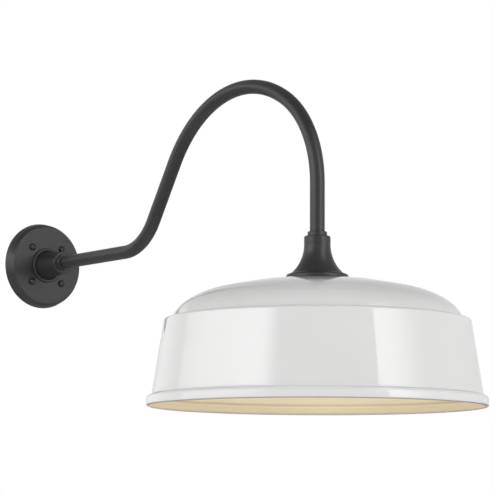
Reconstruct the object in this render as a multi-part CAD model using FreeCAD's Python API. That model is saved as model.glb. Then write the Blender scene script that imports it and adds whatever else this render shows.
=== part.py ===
import FreeCAD, Part
import os
from math import cos, pi, radians, sin, sqrt, tan

# Barn light: a wall plate, a gooseneck arm and a deep round shade, in millimetres
# The origin is the centre of the wall plane, the arm leaves the wall along -Y, and +Z is up
# A depth is counted out from the wall, and a height is counted up from the shade's lip

# Fits shared by all pieces
BORE_GAP = 0.05
SEAT_GAP = 0.05
OVERRUN = 2.0
MERGE_GAP = 0.02

# Wall gasket
GASKET_THICKNESS = 2.0
GASKET_OUTER_R = 62.0
GASKET_INNER_R = 53.0

# Wall plate, a hollow casting with a bevelled face
PLATE_BACK_R = 63.5
PLATE_SHOULDER_R = 61.3
PLATE_FACE_R = 57.3
PLATE_THICKNESS = 15.0
PLATE_BEVEL_DEPTH = 5.6
PLATE_SIDE_WALL = 4.5
PLATE_FRONT_WALL = 4.0
PLATE_EDGE_ROUND = 0.8
PLATE_INNER_ROUND = 3.0
BOSS_R = 6.5
BOSS_RECESS = 4.0

# Plate screws
SCREW_CIRCLE_R = 36.5
SCREW_COUNT = 4
SCREW_R = 2.4
SCREW_HOLE_R = 3.6
SCREW_LENGTH = 38.0
SCREW_HEAD_R = 5.2
SCREW_HEAD_HEIGHT = 3.4
SCREW_HEAD_RIM = 0.8
RECESS_WIDTH = 1.2
RECESS_SPAN = 5.0
RECESS_DEPTH = 1.7

# Driver slots of the ground screw and the terminal screws
DRIVER_SLOT_WIDTH = 0.8
DRIVER_SLOT_DEPTH = 0.9

# Ground screw, inside the plate
GROUND_R = 2.0
GROUND_HEAD_R = 4.0
GROUND_HEAD_HEIGHT = 2.6
GROUND_LENGTH = 5.0
GROUND_OFFSET = 31.0
GROUND_BOSS_R = 5.0
GROUND_BOSS_HEIGHT = 3.0

# Gooseneck tube
TUBE_R = 9.525
TUBE_WALL = 1.5
ARM_RUN = 208.5
RISE_BEND_R = 82.0
RISE_ANGLE = 56.8
RISE_LENGTH = 91.5
CREST_BEND_R = 180.0
CREST_ANGLE = 32.5
DROP_BEND_R = 141.0

# Neck and collar, alike on the hub and on the bell
NECK_R = 16.8
NECK_ROUND = 1.8
COLLAR_R = 12.4
COLLAR_LENGTH = 5.8
COLLAR_ROUND = 1.2
COLLAR_FILLET = 0.6

# Arm hub
HUB_LENGTH = 46.0
HUB_RING_R = 25.8
HUB_RING_HEIGHT = 3.8
HUB_RING_ROUND = 1.9
HUB_RING_INNER_R = 22.2
HUB_RING_INNER_ROUND = 1.1
HUB_GROOVE_R = 21.4
HUB_GROOVE_HEIGHT = 2.8
HUB_SWEEP_R = 175.0
HUB_WAIST_SHARE = 0.53
HUB_SCREW_SHARE = 0.7

# Nut and washer behind the plate
ARM_WASHER_R = 14.0
ARM_WASHER_THICKNESS = 1.2
ARM_NUT_FLATS = 28.0
ARM_NUT_THICKNESS = 5.0
NUT_CHAMFER_ANGLE = 30.0
TUBE_STICKOUT = 1.0

# Set screws of the hub and the bell
SET_SCREW_R = 2.5
SET_SCREW_SINK = 0.5
SET_SCREW_KEY_FLATS = 2.5
SET_SCREW_KEY_DEPTH = 2.5

# Shade, a spun sheet with a rolled lip, a bead, a tapered band, a shoulder and a dome
LIP_DROP = 236.8
SHADE_WALL = 1.5
LIP_R = 212.1
LIP_ROUND = 2.5
BEAD_R = 214.6
BEAD_HEIGHT = 13.0
BEAD_ROUND = 5.0
BAND_FOOT_R = 208.0
BAND_FOOT_RISE = 1.4
BAND_FOOT_FILLET = 2.0
SHOULDER_R = 193.3
SHOULDER_HEIGHT = 108.9
SHOULDER_ROUND = 3.0
CREASE_R = 183.3
CREASE_HEIGHT = 111.1
CREASE_FILLET = 1.0
CROWN_ANGLE = 13.15
DOME_KNUCKLE_BEND_R = 108.6
DOME_KNUCKLE_ANGLE = 33.9
DOME_EDGE_BEND_R = 49.8
DOME_EDGE_ANGLE = 65.1

# Gasket under the bell
FOOT_GASKET_THICKNESS = 0.8
FOOT_GASKET_OUTER_R = 39.0
FOOT_GASKET_INNER_R = 33.0

# Fitter bell
BELL_FOOT_R = 39.6
BELL_FOOT_HEIGHT = 4.6
BELL_FOOT_ROUND = 3.4
BELL_CREASE_R = 33.0
BELL_CREASE_HEIGHT = 6.9
BELL_CREASE_FILLET = 0.5
BELL_COVE_FOOT_R = 32.0
BELL_COVE_FOOT_HEIGHT = 7.8
BELL_COVE_HEIGHT = 22.9
BELL_COVE_R = 49.5
BELL_HEIGHT = 54.1
BELL_WALL = 4.0
BELL_WEB_HEIGHT = 33.3
BELL_WEB_THICKNESS = 4.0
BELL_HOLLOW_NECK_R = 11.8
BELL_HOLLOW_ROUND = 3.0
BELL_SCREW_SHARE = 0.78

# Plug and hollow threaded rod
PLUG_LENGTH = 12.0
NIPPLE_R = 5.1
NIPPLE_BORE_R = 3.6
NIPPLE_TOP_MARGIN = 1.0
NIPPLE_GRIP = 8.0

# Clamping stack inside the dome
BACKING_R = 38.0
BACKING_THICKNESS = 2.0
NIPPLE_WASHER_R = 9.0
NIPPLE_WASHER_THICKNESS = 0.8
NIPPLE_NUT_FLATS = 14.0
NIPPLE_NUT_THICKNESS = 4.0

# Lampholder
SOCKET_R = 21.0
SOCKET_WALL = 2.4
CAP_HUB_R = 11.0
CAP_HUB_HEIGHT = 3.0
CAP_HUB_ROUND = 1.0
CAP_SLOPE_HEIGHT = 4.5
CAP_ROUND = 3.5
CAP_HEIGHT = 23.5
SPIGOT_HEIGHT = 3.0
FLOOR_THICKNESS = 3.5
CHAMBER_DEPTH = 23.5
SOCKET_RIM_R = 22.2
SOCKET_RIM_HEIGHT = 4.0
SOCKET_RIM_ROUND = 1.2
SHELL_BORE_R = 13.15
SHELL_WALL = 0.8
SHELL_FLANGE_BORE_R = 8.0
SHELL_SETBACK = 1.0
CONTACT_R = 3.6
CONTACT_THICKNESS = 1.1
TERMINAL_OFFSET = 9.0
TERMINAL_HEAD_R = 3.0
TERMINAL_HEAD_HEIGHT = 2.2
TERMINAL_R = 1.6
TERMINAL_LENGTH = 4.0

# Wires inside the tube
LEAD_R = 1.3
LEAD_SPREAD = 1.7
LEAD_TAIL = 3.0
LEAD_BEND_R = 3.5
LEAD_FLARE_ANGLE = 50.0
LEAD_SEAT_GAP = 0.2

# Lamp
LAMP_CAP_R = 13.05
LAMP_CAP_WALL = 0.7
LAMP_CAP_LENGTH = 21.5
LAMP_INSULATOR_HEIGHT = 1.6
LAMP_INSULATOR_TOP_R = 6.0
LAMP_CONTACT_R = 4.6
LAMP_CONTACT_HEIGHT = 0.9
LAMP_CONTACT_GAP = 0.1
LAMP_NECK_R = 14.2
LAMP_NECK_HEIGHT = 5.0
LAMP_NECK_ROUND = 6.0
LAMP_BODY_R = 29.6
LAMP_BODY_HEIGHT = 37.0
LAMP_FLARE_R = 40.0
LAMP_FLARE_SHARES = (0.80, 0.55)
GLOBE_R = 30.0
GLOBE_HEIGHT = 42.0
GLOBE_WALL = 1.5
GLOBE_SIDE_SHARES = (1.02, 0.52)
GLOBE_SIDE_BEND_R = 26.0
GLOBE_END_SHARES = (0.62, 1.0)
GLOBE_END_BEND_R = 24.0

X_AXIS = FreeCAD.Vector(1, 0, 0)
Z_AXIS = FreeCAD.Vector(0, 0, 1)
OUTWARD = FreeCAD.Vector(0, -1, 0)
CENTRE = FreeCAD.Vector(0, 0, 0)
FULL_TURN = 360.0
QUARTER_TURN = 90.0

# Depths of the stack on the wall
PLATE_FACE = GASKET_THICKNESS + PLATE_THICKNESS
PLATE_INSIDE = PLATE_FACE - PLATE_FRONT_WALL
ARM_NUT_FRONT = PLATE_INSIDE - ARM_WASHER_THICKNESS
ARM_NUT_BACK = ARM_NUT_FRONT - ARM_NUT_THICKNESS
TUBE_BACK = ARM_NUT_BACK - TUBE_STICKOUT
TUBE_HOLE_R = TUBE_R + BORE_GAP

# The dome is three tangent bends, each ending at its own slope, from the crown out to the crease
CROWN_TURN, KNUCKLE_TURN, EDGE_TURN = (
    radians(slope) for slope in (CROWN_ANGLE, DOME_KNUCKLE_ANGLE, DOME_EDGE_ANGLE)
)
KNUCKLE_REACH = DOME_KNUCKLE_BEND_R * (sin(KNUCKLE_TURN) - sin(CROWN_TURN))
EDGE_REACH = DOME_EDGE_BEND_R * (sin(EDGE_TURN) - sin(KNUCKLE_TURN))
CROWN_BEND_R = (CREASE_R - KNUCKLE_REACH - EDGE_REACH) / sin(CROWN_TURN)
DOME_BENDS = (
    (CROWN_BEND_R, CROWN_TURN),
    (DOME_KNUCKLE_BEND_R, KNUCKLE_TURN),
    (DOME_EDGE_BEND_R, EDGE_TURN),
)


def dome_drop():
    """How far the dome falls from its apex to the crease."""
    drop, last = 0, 0
    for bend, slope in DOME_BENDS:
        drop += bend * (cos(last) - cos(slope))
        last = slope
    return drop


# Heights of the stack on the shade
APEX_HEIGHT = CREASE_HEIGHT + dome_drop()
NIPPLE_HOLE_R = NIPPLE_R + BORE_GAP


def crown_height(r, sunk):
    """Height of the dome's crown at a radius, or of a face sunk below it by the given distance."""
    bend = CROWN_BEND_R - sunk
    return APEX_HEIGHT - CROWN_BEND_R + sqrt(bend * bend - r * r)


FOOT_SEAT = crown_height(FOOT_GASKET_INNER_R, 0) + SEAT_GAP + FOOT_GASKET_THICKNESS
WEB_TOP = FOOT_SEAT + BELL_WEB_HEIGHT
BACKING_EDGE_HEIGHT = crown_height(BACKING_R, SHADE_WALL) - SEAT_GAP
BACKING_HUB_HEIGHT = crown_height(NIPPLE_HOLE_R, SHADE_WALL) - SEAT_GAP
BACKING_SLOPE = (BACKING_HUB_HEIGHT - BACKING_EDGE_HEIGHT) / (BACKING_R - NIPPLE_HOLE_R)
NIPPLE_WASHER_TOP = (
    BACKING_HUB_HEIGHT - BACKING_THICKNESS - BACKING_SLOPE * (NIPPLE_WASHER_R - NIPPLE_HOLE_R)
)
NIPPLE_NUT_TOP = NIPPLE_WASHER_TOP - NIPPLE_WASHER_THICKNESS
SOCKET_TOP = NIPPLE_NUT_TOP - NIPPLE_NUT_THICKNESS
NIPPLE_BOTTOM = SOCKET_TOP - NIPPLE_GRIP
SOCKET_SPLIT = SOCKET_TOP - CAP_HEIGHT
SPIGOT_TOP = SOCKET_SPLIT + SPIGOT_HEIGHT
SOCKET_FLOOR = SOCKET_SPLIT - FLOOR_THICKNESS
SOCKET_MOUTH = SOCKET_FLOOR - CHAMBER_DEPTH
TERMINAL_TOP = SPIGOT_TOP + TERMINAL_HEAD_HEIGHT
LAMP_TOP = SOCKET_FLOOR - CONTACT_THICKNESS - LAMP_CONTACT_GAP
LAMP_CAP_TOP = LAMP_TOP - LAMP_CONTACT_HEIGHT - LAMP_INSULATOR_HEIGHT
LAMP_CAP_BOTTOM = LAMP_CAP_TOP - LAMP_CAP_LENGTH
LAMP_BODY_BOTTOM = LAMP_CAP_BOTTOM - LAMP_BODY_HEIGHT


class Route:
    """A path of straight runs and tangent bends, laid from a point along a heading."""

    def __init__(self, start, heading):
        self.start = start
        self.first_heading = heading
        self.point = start
        self.heading = heading
        self.edges = []

    def straight(self, length):
        end = self.point + self.heading * length
        self.edges.append(Part.LineSegment(self.point, end).toShape())
        self.point = end

    def bend(self, radius, degrees, axis):
        side = axis.cross(self.heading)

        def along(turn):
            return self.point + self.heading * (radius * sin(turn)) + side * (radius * (1 - cos(turn)))

        turn = radians(degrees)
        end = along(turn)
        self.edges.append(Part.Arc(self.point, along(turn / 2), end).toShape())
        self.point = end
        self.heading = self.heading * cos(turn) + side * sin(turn)

    def pipe(self, radius):
        circle = Part.Wire(Part.makeCircle(radius, self.start, self.first_heading))
        return Part.Wire(self.edges).makePipeShell([circle], True, False)


def rounded_wire(corners):
    """Closed outline in the XZ plane. A corner is (radius, height, size of its rounding)."""
    count = len(corners)
    points = [FreeCAD.Vector(r, 0, h) for r, h, _ in corners]
    gaps = [(points[(i + 1) % count] - points[i]).Length for i in range(count)]
    back, ahead, half, reach = [], [], [], []
    for i in range(count):
        to_last = (points[i - 1] - points[i]).normalize()
        to_next = (points[(i + 1) % count] - points[i]).normalize()
        back.append(to_last)
        ahead.append(to_next)
        half.append(to_last.getAngle(to_next) / 2)
        reach.append(corners[i][2] / tan(half[i]))
    room = [min(1, gaps[i] / max(reach[i] + reach[(i + 1) % count], gaps[i])) for i in range(count)]
    reach = [reach[i] * min(room[i - 1], room[i]) for i in range(count)]
    edges = []
    first = points[0] + ahead[0] * reach[0]
    here = first
    for i in list(range(1, count)) + [0]:
        enter = points[i] + back[i] * reach[i]
        if (enter - here).Length > MERGE_GAP:
            edges.append(Part.LineSegment(here, enter).toShape())
            here = enter
        if reach[i] > 0:
            leave = first if i == 0 else points[i] + ahead[i] * reach[i]
            bisector = (back[i] + ahead[i]).normalize()
            depth = reach[i] / cos(half[i]) - reach[i] * tan(half[i])
            edges.append(Part.Arc(here, points[i] + bisector * depth, leave).toShape())
            here = leave
    return Part.Wire(edges)


def turned(corners):
    """Solid of revolution about +Z."""
    return Part.Face(rounded_wire(corners)).revolve(CENTRE, Z_AXIS, FULL_TURN)


def sheet_outline(corners, wall):
    """Closed outline of a sheet whose wall lies on the left of an open outline."""
    inner = []
    last = len(corners) - 1
    for i, (r, h, size) in enumerate(corners):
        here = FreeCAD.Vector(r, 0, h)
        sides = []
        for a, b in ((i - 1, i), (i, i + 1)):
            if a >= 0 and b <= last:
                leg = FreeCAD.Vector(corners[b][0] - corners[a][0], 0, corners[b][1] - corners[a][1])
                leg.normalize()
                sides.append(FreeCAD.Vector(-leg.z, 0, leg.x))
        if len(sides) == 2:
            mitre = sides[0] + sides[1]
            turn = sides[0].x * sides[1].z - sides[0].z * sides[1].x
            point = here + mitre * (wall / mitre.dot(sides[0]))
            inner.append((point.x, point.z, max(size - wall, 0) if turn > 0 else size + wall))
        else:
            point = here + sides[0] * wall
            inner.append((point.x, point.z, 0))
    return list(corners) + inner[::-1]


def ring(outer_r, inner_r, bottom, height):
    return Part.makeCylinder(outer_r, height, FreeCAD.Vector(0, 0, bottom)).cut(
        Part.makeCylinder(inner_r, height + 2 * OVERRUN, FreeCAD.Vector(0, 0, bottom - OVERRUN))
    )


def hexagon(flats, height):
    radius = flats / sqrt(3)
    corners = [
        FreeCAD.Vector(radius * cos(i * pi / 3), radius * sin(i * pi / 3), 0) for i in range(6)
    ]
    return Part.Face(Part.makePolygon(corners + corners[:1])).extrude(FreeCAD.Vector(0, 0, height))


def hex_nut(flats, bore_r, bottom, height):
    """A nut whose six corners are chamfered at both faces."""
    face_r = flats / 2
    side_r = face_r + height / 2 / tan(radians(NUT_CHAMFER_ANGLE))
    outline = [(bore_r, 0), (face_r, 0), (side_r, height / 2), (face_r, height), (bore_r, height)]
    rounds = turned([(r, h, 0) for r, h in outline])
    nut = hexagon(flats, height).common(rounds)
    nut.translate(FreeCAD.Vector(0, 0, bottom))
    return nut


def on_wall(shape):
    """Turns a shape built up along +Z so that it stands out from the wall."""
    shape.rotate(CENTRE, X_AXIS, QUARTER_TURN)
    return shape


def on_shade(shape):
    """Moves a shape built over the lip plane to the shade's axis."""
    shape.translate(SHADE_ORIGIN)
    return shape


def arm_route(offset, back):
    """The tube's centre line, or one beside it, from a depth in the plate to the drop's end."""
    route = Route(FreeCAD.Vector(offset, -back, 0), OUTWARD)
    route.straight(PLATE_FACE + ARM_RUN - back)
    route.bend(RISE_BEND_R, RISE_ANGLE, -X_AXIS)
    route.straight(RISE_LENGTH)
    route.bend(CREST_BEND_R, RISE_ANGLE + CREST_ANGLE, X_AXIS)
    route.bend(DROP_BEND_R, QUARTER_TURN - CREST_ANGLE, X_AXIS)
    return route


SHADE_ORIGIN = FreeCAD.Vector(0, arm_route(0, TUBE_BACK).point.y, -LIP_DROP)


def screw_places():
    """The four places on the screw circle, on the diagonals."""
    for i in range(SCREW_COUNT):
        angle = (i + 0.5) * 2 * pi / SCREW_COUNT
        yield FreeCAD.Vector(SCREW_CIRCLE_R * cos(angle), SCREW_CIRCLE_R * sin(angle), 0)


def wall_gasket():
    return on_wall(ring(GASKET_OUTER_R, GASKET_INNER_R, 0, GASKET_THICKNESS))


def wall_plate():
    back = GASKET_THICKNESS
    shoulder = PLATE_FACE - PLATE_BEVEL_DEPTH
    plate = turned([
        (0, PLATE_INSIDE, 0),
        (PLATE_SHOULDER_R - PLATE_SIDE_WALL, PLATE_INSIDE, PLATE_INNER_ROUND),
        (PLATE_BACK_R - PLATE_SIDE_WALL, back, 0),
        (PLATE_BACK_R, back, 0),
        (PLATE_SHOULDER_R, shoulder, PLATE_EDGE_ROUND),
        (PLATE_FACE_R, PLATE_FACE, PLATE_EDGE_ROUND / 2),
        (0, PLATE_FACE, 0),
    ])
    boss_back = back + BOSS_RECESS
    for place in screw_places():
        boss = Part.makeCylinder(BOSS_R, PLATE_FACE - boss_back - PLATE_FRONT_WALL / 2)
        boss.translate(place + FreeCAD.Vector(0, 0, boss_back))
        plate = plate.fuse(boss)
    ground = FreeCAD.Vector(0, GROUND_OFFSET, PLATE_INSIDE - GROUND_BOSS_HEIGHT)
    plate = plate.fuse(Part.makeCylinder(GROUND_BOSS_R, GROUND_BOSS_HEIGHT + PLATE_FRONT_WALL / 2, ground))
    cuts = [Part.makeCylinder(TUBE_HOLE_R, PLATE_FACE + OVERRUN)]
    cuts += [Part.makeCylinder(SCREW_HOLE_R, PLATE_FACE + OVERRUN, place) for place in screw_places()]
    cuts.append(Part.makeCylinder(GROUND_R, GROUND_LENGTH, ground))
    for tool in cuts:
        plate = plate.cut(tool)
    return on_wall(plate.removeSplitter())


def plate_screw():
    """One screw along +Z, with the underside of its head at zero."""
    screw = turned([
        (0, -SCREW_LENGTH, 0),
        (SCREW_R, -SCREW_LENGTH + SCREW_R, 0),
        (SCREW_R, 0, 0),
        (SCREW_HEAD_R, 0, 0),
        (SCREW_HEAD_R, SCREW_HEAD_RIM, 0),
        (SCREW_HEAD_R, SCREW_HEAD_HEIGHT, SCREW_HEAD_HEIGHT - SCREW_HEAD_RIM),
        (0, SCREW_HEAD_HEIGHT, 0),
    ])
    slot = Part.makeBox(RECESS_SPAN, RECESS_WIDTH, RECESS_DEPTH + OVERRUN,
                        FreeCAD.Vector(-RECESS_SPAN / 2, -RECESS_WIDTH / 2, SCREW_HEAD_HEIGHT - RECESS_DEPTH))
    crossed = slot.copy()
    crossed.rotate(CENTRE, Z_AXIS, QUARTER_TURN)
    return screw.cut(slot.fuse(crossed))


def plate_screws():
    screws = []
    for place in screw_places():
        screw = plate_screw()
        screw.translate(place + FreeCAD.Vector(0, 0, PLATE_FACE))
        screws.append(screw)
    return on_wall(Part.makeCompound(screws))


def ground_screw():
    seat = PLATE_INSIDE - GROUND_BOSS_HEIGHT
    screw = Part.makeCylinder(GROUND_R - BORE_GAP, GROUND_LENGTH, FreeCAD.Vector(0, 0, seat))
    head = turned([
        (0, seat - GROUND_HEAD_HEIGHT, 0),
        (GROUND_HEAD_R, seat - GROUND_HEAD_HEIGHT, GROUND_HEAD_HEIGHT / 2),
        (GROUND_HEAD_R, seat, 0),
        (0, seat, 0),
    ])
    slot = Part.makeBox(2 * GROUND_HEAD_R + OVERRUN, DRIVER_SLOT_WIDTH, DRIVER_SLOT_DEPTH + OVERRUN,
                        FreeCAD.Vector(-GROUND_HEAD_R - OVERRUN / 2, -DRIVER_SLOT_WIDTH / 2,
                                       seat - GROUND_HEAD_HEIGHT - OVERRUN))
    screw = screw.fuse(head).cut(slot)
    screw.translate(FreeCAD.Vector(0, GROUND_OFFSET, 0))
    return on_wall(screw)


def neck_end(top):
    """Corners of the neck's rounded end and the stepped collar on it, up to the tube's bore."""
    return [
        (NECK_R, top, NECK_ROUND),
        (COLLAR_R, top, COLLAR_FILLET),
        (COLLAR_R, top + COLLAR_LENGTH, COLLAR_ROUND),
        (TUBE_HOLE_R, top + COLLAR_LENGTH, 0),
    ]


def set_screw():
    """A grub screw along +Z from the tube's wall to just under the neck's face."""
    length = NECK_R - TUBE_HOLE_R - SET_SCREW_SINK
    screw = Part.makeCylinder(SET_SCREW_R - BORE_GAP, length, FreeCAD.Vector(0, 0, TUBE_HOLE_R))
    key = hexagon(SET_SCREW_KEY_FLATS, SET_SCREW_KEY_DEPTH + OVERRUN)
    key.translate(FreeCAD.Vector(0, 0, TUBE_HOLE_R + length - SET_SCREW_KEY_DEPTH))
    return screw.cut(key)


def set_screw_hole():
    return Part.makeCylinder(SET_SCREW_R, HUB_RING_R + OVERRUN)


def at_hub_screw(shape):
    """Lays a shape built along +Z on the hub's far side, across the arm."""
    shape.rotate(CENTRE, FreeCAD.Vector(0, 1, 0), QUARTER_TURN)
    shape.translate(FreeCAD.Vector(0, 0, PLATE_FACE + HUB_LENGTH * HUB_SCREW_SHARE))
    return shape


def at_bell_screw(shape):
    """Lays a shape built along +Z on the bell's wall side, across the tube."""
    shape.rotate(CENTRE, X_AXIS, -QUARTER_TURN)
    shape.translate(FreeCAD.Vector(0, 0, FOOT_SEAT + BELL_HEIGHT * BELL_SCREW_SHARE))
    return shape


def arm_hub():
    base = PLATE_FACE
    hub = turned([
        (TUBE_HOLE_R, base, 0),
        (HUB_RING_R, base, 0),
        (HUB_RING_R, base + HUB_RING_HEIGHT, HUB_RING_ROUND),
        (HUB_RING_INNER_R, base + HUB_RING_HEIGHT, HUB_RING_INNER_ROUND),
        (HUB_GROOVE_R, base + HUB_GROOVE_HEIGHT, 0),
        (NECK_R, base + HUB_LENGTH * HUB_WAIST_SHARE, HUB_SWEEP_R),
        *neck_end(base + HUB_LENGTH),
    ])
    return on_wall(hub.cut(at_hub_screw(set_screw_hole())))


def hub_set_screw():
    return on_wall(at_hub_screw(set_screw()))


def arm_washer():
    return on_wall(ring(ARM_WASHER_R, TUBE_HOLE_R, ARM_NUT_FRONT, ARM_WASHER_THICKNESS))


def arm_locknut():
    return on_wall(hex_nut(ARM_NUT_FLATS, TUBE_HOLE_R, ARM_NUT_BACK, ARM_NUT_THICKNESS))


def gooseneck_tube():
    route = arm_route(0, TUBE_BACK)
    route.straight(route.point.z - (WEB_TOP - LIP_DROP))
    return route.pipe(TUBE_R).cut(route.pipe(TUBE_R - TUBE_WALL))


def lead(side):
    """A wire through the tube and the nipple, spread out to its terminal in the lampholder."""
    route = arm_route(side * LEAD_SPREAD, TUBE_BACK - LEAD_TAIL)
    route.straight(route.point.z - (NIPPLE_BOTTOM - LIP_DROP))
    flare = radians(LEAD_FLARE_ANGLE)
    sideways = TERMINAL_OFFSET - LEAD_SPREAD - 2 * LEAD_BEND_R * (1 - cos(flare))
    axis = FreeCAD.Vector(0, -side, 0)
    route.bend(LEAD_BEND_R, LEAD_FLARE_ANGLE, axis)
    route.straight(sideways / sin(flare))
    route.bend(LEAD_BEND_R, LEAD_FLARE_ANGLE, -axis)
    route.straight(route.point.z - (TERMINAL_TOP + LEAD_SEAT_GAP - LIP_DROP))
    return route.pipe(LEAD_R)


def line_lead():
    return lead(1)


def neutral_lead():
    return lead(-1)


def dome_corners():
    """Corners where the tangents of the dome's bends meet, from the crown outwards."""
    r, h, last = 0, APEX_HEIGHT, 0
    corners = []
    for bend, slope in DOME_BENDS:
        reach = bend * tan((slope - last) / 2)
        r, h = r + reach * cos(last), h - reach * sin(last)
        corners.append((r, h, bend))
        r, h = r + reach * cos(slope), h - reach * sin(slope)
        last = slope
    return corners


def shade():
    outer = [
        (LIP_R, 0, 0),
        (BEAD_R, 0, LIP_ROUND),
        (BEAD_R, BEAD_HEIGHT, BEAD_ROUND),
        (BAND_FOOT_R, BEAD_HEIGHT + BAND_FOOT_RISE, BAND_FOOT_FILLET),
        (SHOULDER_R, SHOULDER_HEIGHT, SHOULDER_ROUND),
        (CREASE_R, CREASE_HEIGHT, CREASE_FILLET),
        *reversed(dome_corners()),
        (0, APEX_HEIGHT, 0),
    ]
    body = turned(sheet_outline(outer, SHADE_WALL))
    hole = Part.makeCylinder(NIPPLE_HOLE_R, APEX_HEIGHT + OVERRUN)
    return on_shade(body.cut(hole))


def shade_gasket():
    inner, outer = FOOT_GASKET_INNER_R, FOOT_GASKET_OUTER_R
    return on_shade(turned([
        (inner, crown_height(inner, 0) + SEAT_GAP, 0),
        (outer, crown_height(outer, 0) + SEAT_GAP, 0),
        (outer, FOOT_SEAT, 0),
        (inner, FOOT_SEAT, 0),
    ]))


def fitter_bell():
    seat = FOOT_SEAT
    web_bottom = WEB_TOP - BELL_WEB_THICKNESS
    bell = turned([
        (FOOT_GASKET_INNER_R, seat, 0),
        (BELL_FOOT_R, seat, 0),
        (BELL_FOOT_R, seat + BELL_FOOT_HEIGHT, BELL_FOOT_ROUND),
        (BELL_CREASE_R, seat + BELL_CREASE_HEIGHT, BELL_CREASE_FILLET),
        (BELL_COVE_FOOT_R, seat + BELL_COVE_FOOT_HEIGHT, 0),
        (NECK_R, seat + BELL_COVE_HEIGHT, BELL_COVE_R),
        *neck_end(seat + BELL_HEIGHT),
        (TUBE_HOLE_R, WEB_TOP, 0),
        (NIPPLE_HOLE_R, WEB_TOP, 0),
        (NIPPLE_HOLE_R, web_bottom, 0),
        (BELL_HOLLOW_NECK_R, web_bottom, BELL_HOLLOW_ROUND),
        (BELL_HOLLOW_NECK_R, seat + BELL_COVE_HEIGHT - BELL_WALL, BELL_COVE_R + BELL_WALL),
        (BELL_COVE_FOOT_R - BELL_WALL, seat + BELL_WALL, BELL_HOLLOW_ROUND),
    ])
    return on_shade(bell.cut(at_bell_screw(set_screw_hole())))


def bell_set_screw():
    return on_shade(at_bell_screw(set_screw()))


def tube_plug():
    return on_shade(ring(TUBE_R - TUBE_WALL - BORE_GAP, NIPPLE_HOLE_R, WEB_TOP, PLUG_LENGTH))


def fitter_nipple():
    top = WEB_TOP + PLUG_LENGTH - NIPPLE_TOP_MARGIN
    return on_shade(ring(NIPPLE_R, NIPPLE_BORE_R, NIPPLE_BOTTOM, top - NIPPLE_BOTTOM))


def backing_plate():
    return on_shade(turned([
        (NIPPLE_HOLE_R, BACKING_HUB_HEIGHT - BACKING_THICKNESS, 0),
        (BACKING_R, BACKING_EDGE_HEIGHT - BACKING_THICKNESS, 0),
        (BACKING_R, BACKING_EDGE_HEIGHT, 0),
        (NIPPLE_HOLE_R, BACKING_HUB_HEIGHT, 0),
    ]))


def nipple_washer():
    return on_shade(ring(NIPPLE_WASHER_R, NIPPLE_HOLE_R, NIPPLE_NUT_TOP, NIPPLE_WASHER_THICKNESS))


def nipple_nut():
    return on_shade(hex_nut(NIPPLE_NUT_FLATS, NIPPLE_HOLE_R, SOCKET_TOP, NIPPLE_NUT_THICKNESS))


def socket_cap():
    shoulder = SOCKET_TOP - CAP_HUB_HEIGHT
    inner_r = SOCKET_R - SOCKET_WALL
    return on_shade(turned([
        (NIPPLE_HOLE_R, SOCKET_TOP, 0),
        (NIPPLE_HOLE_R, NIPPLE_BOTTOM, 0),
        (inner_r, NIPPLE_BOTTOM, CAP_ROUND),
        (inner_r, SOCKET_SPLIT, 0),
        (SOCKET_R, SOCKET_SPLIT, 0),
        (SOCKET_R, shoulder - CAP_SLOPE_HEIGHT, CAP_ROUND),
        (CAP_HUB_R, shoulder, CAP_HUB_ROUND),
        (CAP_HUB_R, SOCKET_TOP, CAP_HUB_ROUND),
    ]))


def socket_body():
    bore = SHELL_BORE_R + SHELL_WALL + BORE_GAP
    rim_top = SOCKET_MOUTH + SOCKET_RIM_HEIGHT
    body = turned([
        (0, SOCKET_FLOOR, 0),
        (bore, SOCKET_FLOOR, 0),
        (bore, SOCKET_MOUTH, 0),
        (SOCKET_RIM_R, SOCKET_MOUTH, SOCKET_RIM_ROUND),
        (SOCKET_RIM_R, rim_top, SOCKET_RIM_ROUND),
        (SOCKET_R, rim_top + SOCKET_RIM_ROUND, SOCKET_RIM_ROUND),
        (SOCKET_R, SOCKET_SPLIT, 0),
        (SOCKET_R - SOCKET_WALL - BORE_GAP, SOCKET_SPLIT, 0),
        (SOCKET_R - SOCKET_WALL - BORE_GAP, SPIGOT_TOP, 0),
        (0, SPIGOT_TOP, 0),
    ])
    for side in (-1, 1):
        place = FreeCAD.Vector(side * TERMINAL_OFFSET, 0, SPIGOT_TOP - TERMINAL_LENGTH)
        body = body.cut(Part.makeCylinder(TERMINAL_R, TERMINAL_LENGTH + OVERRUN, place))
    return on_shade(body)


def socket_shell():
    top = SOCKET_FLOOR
    outer_r = SHELL_BORE_R + SHELL_WALL
    return on_shade(turned([
        (SHELL_FLANGE_BORE_R, top, 0),
        (outer_r, top, 0),
        (outer_r, SOCKET_MOUTH + SHELL_SETBACK, 0),
        (SHELL_BORE_R, SOCKET_MOUTH + SHELL_SETBACK, 0),
        (SHELL_BORE_R, top - SHELL_WALL, 0),
        (SHELL_FLANGE_BORE_R, top - SHELL_WALL, 0),
    ]))


def socket_contact():
    bottom = SOCKET_FLOOR - CONTACT_THICKNESS
    return on_shade(turned([
        (0, bottom, 0),
        (CONTACT_R, bottom, CONTACT_THICKNESS / 2),
        (CONTACT_R, SOCKET_FLOOR, 0),
        (0, SOCKET_FLOOR, 0),
    ]))


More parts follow.
